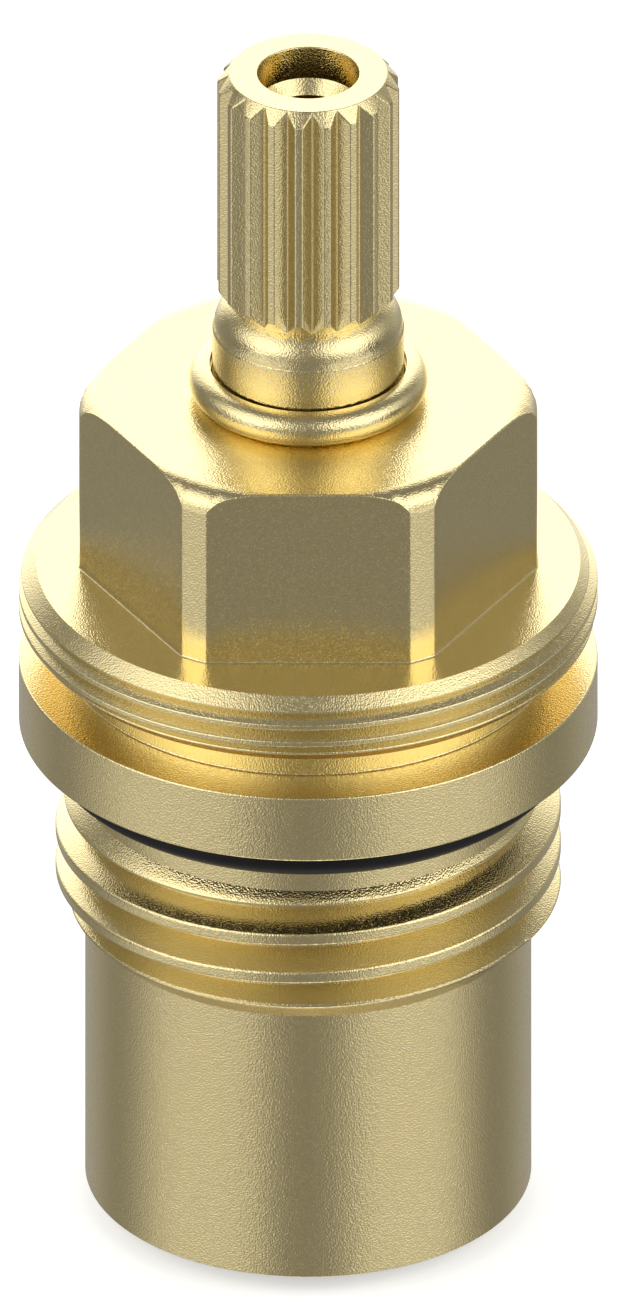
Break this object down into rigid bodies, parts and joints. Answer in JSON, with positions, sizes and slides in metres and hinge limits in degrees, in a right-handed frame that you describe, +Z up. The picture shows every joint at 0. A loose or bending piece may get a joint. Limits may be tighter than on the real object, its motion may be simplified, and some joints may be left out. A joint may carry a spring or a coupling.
{
  "type": "ceramic disc tap cartridge",
  "caption": "Brass headwork that screws into a tap. Its splined spindle turns one ceramic disc on another to open and close the flow in a quarter turn.",
  "frame": {"origin": "middle of the seat seal's lowest face, on the spindle's axis", "axes": "+Z up the spindle towards the handle, -Y to the plain side of the tube and a flat of the hexagon, +Y to the outlet window"},
  "size_m": [0.024, 0.024, 0.0532],
  "materials": {
    "body_brass": "satin, finely blasted brass",
    "spindle_brass": "satin, finely blasted brass",
    "upper_ceramic": "lapped alumina",
    "lower_ceramic": "lapped alumina",
    "seal_rubber": "matt moulded rubber",
    "ring_rubber": "greased black rubber",
    "ring_plastic": "natural acetal",
    "washer_plastic": "natural acetal"
  },
  "bodies": {
    "headwork": {"headwork_body": "body_brass", "fixed_disc": "lower_ceramic", "seat_seal": "seal_rubber", "seal_support_ring": "ring_plastic", "slip_washer": "washer_plastic", "flange_o_ring": "ring_rubber"},
    "stem": {"spindle": "spindle_brass", "spindle_o_ring_lower": "ring_rubber", "spindle_o_ring_upper": "ring_rubber"},
    "control_disc": {"rotating_disc": "upper_ceramic"}
  },
  "joints": [
    {"name": "spindle_turn", "type": "hinge", "parent": "headwork", "child": "stem", "pos_m": [0, 0, 0.03], "axis": [0, 0, 1], "range_deg": [0, 90]},
    {"name": "disc_turn", "type": "hinge", "parent": "headwork", "child": "control_disc", "pos_m": [0, 0, 0.007], "axis": [0, 0, 1], "range_deg": [0, 90]}
  ],
  "couplings": [
    {"joint": "disc_turn", "follows": "spindle_turn", "ratio": 1}
  ]
}
